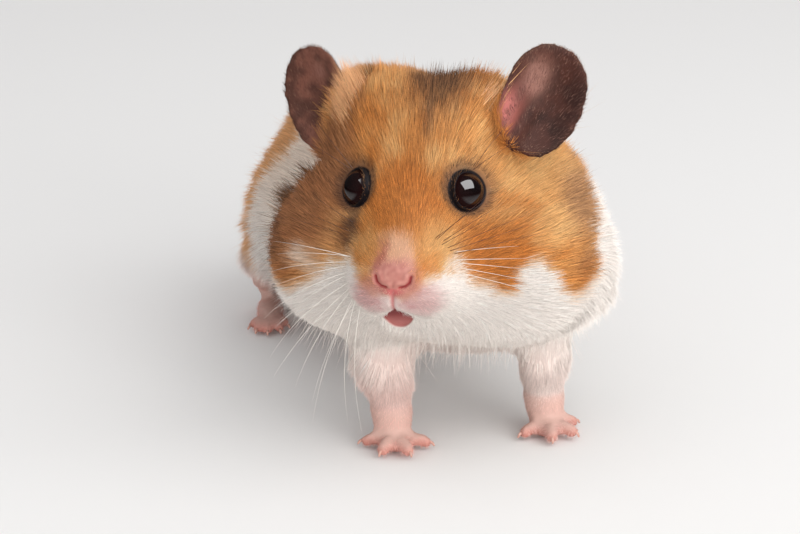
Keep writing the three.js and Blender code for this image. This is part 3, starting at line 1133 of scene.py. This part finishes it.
# Tufts are three-sided and tapered, sunk a little in the skin.
def makeTufts(name, roots, normals, facings, tips, widths, colours, tipColours, unwrap):
    run = unit(tips - roots)
    across = unit(np.cross(run, normals))
    over = np.cross(across, run)
    points, radials, places = [], [], []
    for angle in np.radians((90, 210, 330)):
        girth = across * math.cos(angle) + over * coat["flatness"] * math.sin(angle)
        points.append(roots - normals * coat["sunk"] + (widths / 2)[:, None] * girth)
        radials.append(across * math.cos(angle) + over * math.sin(angle))
        places.append((math.cos(angle) / 2 + 0.5, 0))
    points.append(tips)
    radials.append(over)
    places.append((0.5, 1))
    faces = np.array([(1, 0, 3), (2, 1, 3), (0, 2, 3)])
    faces = (faces[None] + (np.arange(len(roots)) * 4)[:, None, None]).reshape(-1, 3)
    made = makeObject(name, np.stack(points, axis=1).reshape(-1, 3), faces, furMaterial)
    shading = mixed(np.stack(radials, axis=1), facings[:, None], coat["softNormals"])
    made.data.normals_split_custom_set_from_vertices(unit(shading).reshape(-1, 3).astype(np.float32))
    setColours(made.data, np.stack([colours, colours, colours, tipColours], axis=1).reshape(-1, 3))
    places = (unwrap[:, None] + np.array(places)[None] * coat["patchSize"]).reshape(-1, 2)
    layer = made.data.uv_layers.new(name="OFBake")
    layer.data.foreach_set("uv", places[faces.ravel()].astype(np.float32).ravel())


# Colours at the roots and tips. Tufts differ in lightness, and some dark ones have darker tips.
def tuftColours(colours, rng):
    count = len(colours)
    light = 1 + coat["shade"] * rng.normal(0, 1, count)[:, None] * (1.2 - colours.mean(1, keepdims=True))
    colours = np.minimum(colours * np.clip(light, *coat["lightSpread"]), 1)
    ticked = (rng.random(count) < coat["ticking"]) * ramp(0.62, 0.40, colours.mean(1))
    return colours * coat["rootShade"], colours * (1 - coat["tickShade"] * ticked[:, None])


# Grows one piece of the coat, which may have its own lay, length, lift, width and colour.
def grow(name, count, weight, unwrapOf, seed, lay=layOf, length=None, lift=None, width=1.0, tint=None):
    rng = np.random.default_rng(coat["seed"] + seed)
    roots, normals, blend = spreadRoots(count, weight, rng)
    lays = lay(roots, normals)
    lengths = length(roots) if length else lengthOf(roots) * (1 - coat["earsShorter"] * blend(earNear))
    lengths = lengths * rng.uniform(*coat["lengthSpread"], count)
    lifts = np.radians(lift or liftOf(roots, lengths)) * rng.uniform(*coat["liftSpread"], count)
    widths = byLength("Width", lengths) * width * rng.uniform(*coat["widthSpread"], count)
    jitter = rng.normal(0, coat["laySpread"], (count, 3))
    lays = unit(lays + jitter - normals * dot(jitter, normals)[:, None])
    tips = roots + lays * (lengths * np.cos(lifts))[:, None] + normals * (lengths * np.sin(lifts))[:, None]
    tips = clumped(roots, tips, coat["clumping"] * ramp(1.0, 5, lengths))
    tips[:, 2] = np.maximum(tips[:, 2], coat["overFloor"])
    colours = tint(roots) if tint else coatColour(roots + rng.normal(0, coat["colourSpread"], (count, 3)))
    colours, tipColours = tuftColours(colours, rng)
    # Behind the cheeks the shading turns forwards, because light comes through the fur there
    fold = headShare(roots) * ramp(6, 13, toHead(roots)[:, 1])
    facings = unit(blend(broadNormals) + fold[:, None] * coat["foldTurn"] * unit(np.array((0, -0.8, 0.6))))
    makeTufts(name, roots, normals, facings, tips, widths, colours, tipColours, unwrapOf(roots))
    print(name, count, "tufts")


# The head turns about its own length, the body about the spine and a leg about the upright.
def headUnwrap(points):
    return unwrapped(points, fromHead((0, 9, -8)), headAxes[1], headAxes[2])


def trunkUnwrap(points):
    return unwrapped(points, np.array((0, 0, 34.0)), np.array((0, 1.0, 0)), np.array((0, 0, 1.0)))


def legUnwrap(points):
    middle = points.mean(0)
    return unwrapped(points, middle, np.array((0, 0, 1.0)), np.array((0, 1.0, 0)))


# The zones of the coat, face first
def zoneMasks():
    x, back, up = toHead(skinPoints).T
    y, z = skinPoints[:, 1], skinPoints[:, 2]
    head = headShare(skinPoints)
    face = head * ramp(9, 7, back) * (up > -40) > 0.5
    head = head > 0.5
    fore = ~head & (z < 19) & (y < -26)
    hind = ~head & (z < 17) & (y > 12)
    body = ~head & ~fore & ~hind
    return {
        "face": face,
        "head_right": head & ~face & (x < 0),
        "head_left": head & ~face & (x >= 0),
        "neck": body & (y < -22),
        "flanks": body & (y >= -22) & (y < 16),
        "rump": body & (y >= 16),
        "forelegs": fore,
        "hindlegs": hind,
    }


zonePlans = {
    # zone: tufts per square mm, unwrap
    "face": (28, headUnwrap),
    "head_right": (26, headUnwrap),
    "head_left": (26, headUnwrap),
    "neck": (20, trunkUnwrap),
    "flanks": (16, trunkUnwrap),
    "rump": (16, trunkUnwrap),
    "forelegs": (22, legUnwrap),
    "hindlegs": (15, legUnwrap),
}
tuftsMost = 63333 # in one piece

print("coat")
for number, (zone, mask) in enumerate(zoneMasks().items()):
    density, unwrapOf = zonePlans[zone]
    weight = mask * openShare * (1 - earShare)
    wanted = int(weighedArea(weight).sum() * density)
    pieces = math.ceil(wanted / tuftsMost)
    for part in range(pieces):
        name = "coat_" + zone + ("" if pieces == 1 else "_" + str(part + 1))
        grow(name, wanted // pieces, weight * (1 - 0.6 * pawShare), unwrapOf, 10 * number + part)


# Finer growth: down on the ears, tufts at their inner roots, long guard hairs, a fringe under the chest,
# and a ruff behind the cheeks

fineCoat = {
    "ears": {"count": 16000, "length": 1.7, "lift": 7, "width": 0.85},
    "ear_tufts": {"count": 900, "length": 6.0, "lift": 8, "width": 0.6},
    "guard": {"count": 5000, "length": 1.2, "lift": 25, "width": 0.45}, # length times the coat round it
    "fringe": {"count": 800, "length": 7.0, "lift": 50, "width": 0.4},
    "ruff": {"count": 5000, "length": 5.5, "lift": 42, "width": 0.8},
}
earDownColours = {
    "dark": (0.33, 0.20, 0.17),
    "light": (0.56, 0.40, 0.34),
    "rim": (0.80, 0.66, 0.54),
}


# On the ears the down spreads from the middle of the base.
def earLay(points, normals):
    lay = np.zeros_like(points)
    for side in sides:
        middle, axes = earFrames[side]
        local = toEar(points, side) / earHalf
        outward = local[:, :1] * axes[0] + (local[:, 2:] + 1.1) * axes[2]
        near = reachFrom(points, middle) < earReach
        lay[near] = outward[near]
    return unit(lay - normals * dot(lay, normals)[:, None] + 1e-6)


def earRim(points):
    rim = np.zeros(len(points))
    for side in sides:
        across, _, up = (toEar(points, side) / earHalf).T
        near = reachFrom(points, earFrames[side][0]) < earReach
        rim = np.maximum(rim, ramp(0.84, 0.98, np.hypot(across, up)) * near)
    return rim


def earDown(points):
    light = ramp(0.5, 0.75, softNoise(points, 0.25, 81))
    down = mixed(np.array(earDownColours["dark"]), earDownColours["light"], light)
    return mixed(down, earDownColours["rim"], 0.6 * earRim(points))


# The side of an ear's root that faces the other ear, in front
def earRoots(points):
    weight = np.zeros(len(points))
    for side in sides:
        inner, face, up = toEar(points, side).T
        spot = ramp(7.3, 8.8, inner) * ramp(12.5, 10.5, inner) * ramp(-7, -3, up) * ramp(8, 4, up)
        near = reachFrom(points, earFrames[side][0]) < earReach
        weight = np.maximum(weight, spot * near * ramp(-4, -1, face))
    return weight


# The tufts at the roots stand up over the hollow, away from the other ear.
def earTuftLay(points, normals):
    lay = np.zeros_like(points)
    for side in sides:
        middle, (inner, face, up) = earFrames[side]
        lay[reachFrom(points, middle) < earReach + 2] = up - inner * 0.35 + face * 0.25
    return unit(lay)


# The coat's underside, from the chest to the forelegs
def underChest():
    _, y, z = skinPoints.T
    under = ramp(-0.2, -0.6, skinNormals[:, 2]) * ramp(-12, -24, y) * ramp(14, 20, z)
    return under * (1 - legShare(skinPoints))


def growFine(part, weight, unwrapOf, seed, lengthShare=lambda points: np.ones(len(points)), **own):
    plan = fineCoat[part]
    grow("coat_" + part, plan["count"], weight, unwrapOf, seed, lift=plan["lift"], width=plan["width"],
         length=lambda points: plan["length"] * lengthShare(points), **own)


furred = openShare * (1 - earShare)
growFine("ears", earShare * openShare, headUnwrap, 101, lay=earLay, tint=earDown,
         lengthShare=lambda points: 1 - 0.6 * earRim(points))
growFine("ear_tufts", earRoots(skinPoints) * (1 - 0.8 * earShare), headUnwrap, 102, lay=earTuftLay,
         tint=lambda points: painted("earTuft", points))
growFine("guard", furred * (1 - pawShare) * ramp(12, 24, fromNose), trunkUnwrap, 103, lengthShare=lengthOf)
growFine("fringe", underChest() * openShare * ramp(13, 18, fromNose), trunkUnwrap, 104)
behindCheeks = bell(headBack(toHead(skinPoints)) - 17, 2.5) * ramp(24, 30, skinPoints[:, 2])
growFine("ruff", furred * behindCheeks, headUnwrap, 105)


# Whiskers: two fans from the pads of the muzzle, and a few over the eyes

# Places and directions are in the head's frame, as for the left side
whiskers = {
    "thick": 0.11,
    "taper": 0.85, # how much thinner the tips are, as a share
    "pale": (0.95, 0.92, 0.88),
    "dark": (0.30, 0.17, 0.12),
    "rightPale": {"count": 13, "from": (10.6, -7.5, -11), "to": (8.8, -9.5, -18.5), "angles": (16, -78),
                  "lengths": (22, 29), "back": -0.15, "bend": (-0.10, 0.45, -0.25)},
    "leftPale": {"count": 5, "from": (9.8, -7.5, -10), "to": (9.5, -8, -13.5), "angles": (8, -16),
                 "lengths": (13, 16), "back": 0.10, "bend": (0, 0.22, -0.10)},
    "leftDark": {"count": 7, "from": (5.5, -9.5, -6), "to": (9.6, -8, -10), "angles": (44, 14),
                 "lengths": (15, 20), "back": 0.10, "bend": (0, 0.25, -0.06)},
    "rightDark": {"count": 3, "from": (11, -5, -5), "to": (12, -5, -8), "angles": (30, 12),
                  "lengths": (12, 15), "back": 0.05, "bend": (0, 0.35, -0.10)},
    "rightBrow": {"count": 2, "from": (11.5, -1.5, 4.6), "to": (12.5, -1, 4), "angles": (50, 30),
                  "lengths": (13, 15), "back": 0.10, "bend": (0, 0.35, -0.20)},
    "leftBrow": {"count": 2, "from": (11.5, -1.5, 4.6), "to": (12.5, -1, 4), "angles": (60, 35),
                 "lengths": (12, 14), "back": 0.10, "bend": (0, 0.35, -0.20)},
}


# A thin tube along a path
def tube(points, sidesRound=5):
    run = unit(np.gradient(points, axis=0))
    side = unit(np.cross(run, (0.1, 0.2, 1.0)))
    over = np.cross(side, run)
    share = np.linspace(0, 1, len(points))
    girth = whiskers["thick"] / 2 * (1 - whiskers["taper"] * share ** 1.3)
    angles = np.arange(sidesRound) * 2 * math.pi / sidesRound
    rings = [points + girth[:, None] * (math.cos(a) * side + math.sin(a) * over) for a in angles]
    made = np.stack(rings, axis=1).reshape(-1, 3)
    faces = []
    for row in range(len(points) - 1):
        for i in range(sidesRound):
            j = (i + 1) % sidesRound
            first, second = row * sidesRound, (row + 1) * sidesRound
            faces += [(first + i, first + j, second + j), (first + i, second + j, second + i)]
    return made, np.array(faces)


# The paths of a fan of whiskers
def fan(side, plan, rng):
    high, low = np.array(plan["from"]), np.array(plan["to"])
    for number in range(plan["count"]):
        share = np.clip((number + rng.uniform(-0.3, 0.3)) / (plan["count"] - 1), 0, 1)
        angle = math.radians(mixed(plan["angles"][0], plan["angles"][1], share))
        length = mixed(plan["lengths"][0], plan["lengths"][1], share) * rng.uniform(0.8, 1.1)
        root = mixed(high, low, share) + rng.normal(0, 0.35, 3)
        start = unit(np.array((math.cos(angle), plan["back"], math.sin(angle))))
        bend = np.array(plan["bend"]) * rng.uniform(0.6, 1.2)
        along = np.linspace(0, 1, 14)[:, None]
        path = root + length * (start * along + bend * along ** 2)
        yield fromHead(path * (1 if side == "left" else -1, 1, 1))


def whiskerMaterial(name, colour):
    return mingledMaterial(name, 0.35, 400, (np.array(colour) * 0.9, colour))


# One piece of whiskers from the fans named
def makeWhiskers(name, groups, colour, seed):
    rng = np.random.default_rng(seed)
    points, faces, total = [], [], 0
    for group in groups:
        side = "left" if group.startswith("left") else "right"
        for path in fan(side, whiskers[group], rng):
            made, triangles = tube(path)
            points.append(made)
            faces.append(triangles + total)
            total += len(made)
    points, faces = np.concatenate(points), np.concatenate(faces)
    makeObject(name, points, faces, whiskerMaterial(name, colour))


print("whiskers")
makeWhiskers("whiskers_pale", ("rightPale", "leftPale"), whiskers["pale"], 3)
makeWhiskers("whiskers_dark", ("leftDark", "rightDark", "leftBrow", "rightBrow"), whiskers["dark"], 4)


# Studio: floor, light and camera

studio = {
    "floor": ((0.905, 0.90, 0.89), (0.915, 0.91, 0.90)),
    "floorHalf": 3.0,
    "floorFade": (0.08, 0.30), # where the floor as the eyes show it goes dark, in metres
    "aim": (0, -0.03, 0.03), # what the lights face
    "key": {"place": (0.55, -0.50, 0.65), "size": (1.0, 1.0), "power": 4.6},
    "fill": {"place": (0.10, -1.1, 0.28), "size": (1.2, 0.5), "power": 8.2}, # low: more for face than floor
    "window": {"place": (0.13, -0.50, 0.79), "size": (1.05, 0.9), "power": 16}, # as the wet eyes show it
    "worldColour": (0.95, 0.95, 0.96),
    "world": 0.89,
    "reflected": 0.05, # a dark room, as the eyes show it
}


def makeFloor():
    material, nodes, links = newMaterial("floor")
    shader = shaderOf(nodes, Roughness=0.6, Specular_IOR_Level=0.1)
    # Reflections see the floor fade to dark away from the animal
    place = nodes.new("ShaderNodeTexCoord")
    distance = nodes.new("ShaderNodeVectorMath")
    distance.operation = "LENGTH"
    links.new(place.outputs["Object"], distance.inputs[0])
    rays = nodes.new("ShaderNodeLightPath")
    dim = nodes.new("ShaderNodeMath")
    dim.operation = "MULTIPLY"
    links.new(rays.outputs["Is Glossy Ray"], dim.inputs[0])
    links.new(ranged(nodes, links, distance.outputs["Value"], studio["floorFade"], (0.2, 1)), dim.inputs[1])
    shown = nodes.new("ShaderNodeMix")
    shown.data_type = "RGBA"
    shown.inputs["B"].default_value = (0.01, 0.01, 0.01, 1)
    links.new(dim.outputs["Value"], shown.inputs["Factor"])
    links.new(mingled(nodes, links, 3, studio["floor"]), shown.inputs["A"])
    links.new(shown.outputs["Result"], shader.inputs["Base Color"])
    mesh = bpy.data.meshes.new("floor")
    half = studio["floorHalf"]
    corners = [(-half, -half, 0), (half, -half, 0), (half, half, 0), (-half, half, 0)]
    mesh.from_pydata(corners, [], [(0, 1, 2, 3)])
    mesh.materials.append(material)
    intoScene(bpy.data.objects.new("floor", mesh))


def areaLight(name, shines):
    plan = studio[name]
    data = bpy.data.lights.new(name, "AREA")
    data.shape = "RECTANGLE"
    data.size, data.size_y = plan["size"]
    data.energy = plan["power"]
    light = intoScene(bpy.data.objects.new(name, data))
    light.location = plan["place"]
    aim = Vector(studio["aim"]) - Vector(plan["place"])
    light.rotation_euler = aim.to_track_quat("-Z", "Y").to_euler()
    light.visible_diffuse = not shines
    light.visible_glossy = shines


def makeStudio():
    areaLight("key", False)
    areaLight("window", True)
    areaLight("fill", False)
    world = bpy.data.worlds.new("studio")
    world.use_nodes = True
    nodes, links = world.node_tree.nodes, world.node_tree.links
    background = nodes["Background"]
    background.inputs["Color"].default_value = (*linear(studio["worldColour"]), 1)
    rays = nodes.new("ShaderNodeLightPath").outputs["Is Glossy Ray"]
    strength = ranged(nodes, links, rays, (0, 1), (studio["world"], studio["reflected"]))
    links.new(strength, background.inputs["Strength"])
    bpy.context.scene.world = world


# The colours are shown as they are made
bpy.context.scene.view_settings.view_transform = "Standard"

camera = {
    "place": (-0.11123, -0.44478, 0.1704),
    "aim": (0.2301, 0.9228, -0.3090),
    "lens": 100,
    "sensor": 36,
    "nearest": 0.01,
}


def makeCamera():
    data = bpy.data.cameras.new("camera")
    data.lens = camera["lens"]
    data.sensor_width = camera["sensor"]
    data.clip_start = camera["nearest"]
    made = intoScene(bpy.data.objects.new("camera", data))
    made.location = camera["place"]
    made.rotation_euler = Vector(camera["aim"]).to_track_quat("-Z", "Y").to_euler()
    bpy.context.scene.camera = made


print("studio")
makeFloor()
makeStudio()
makeCamera()
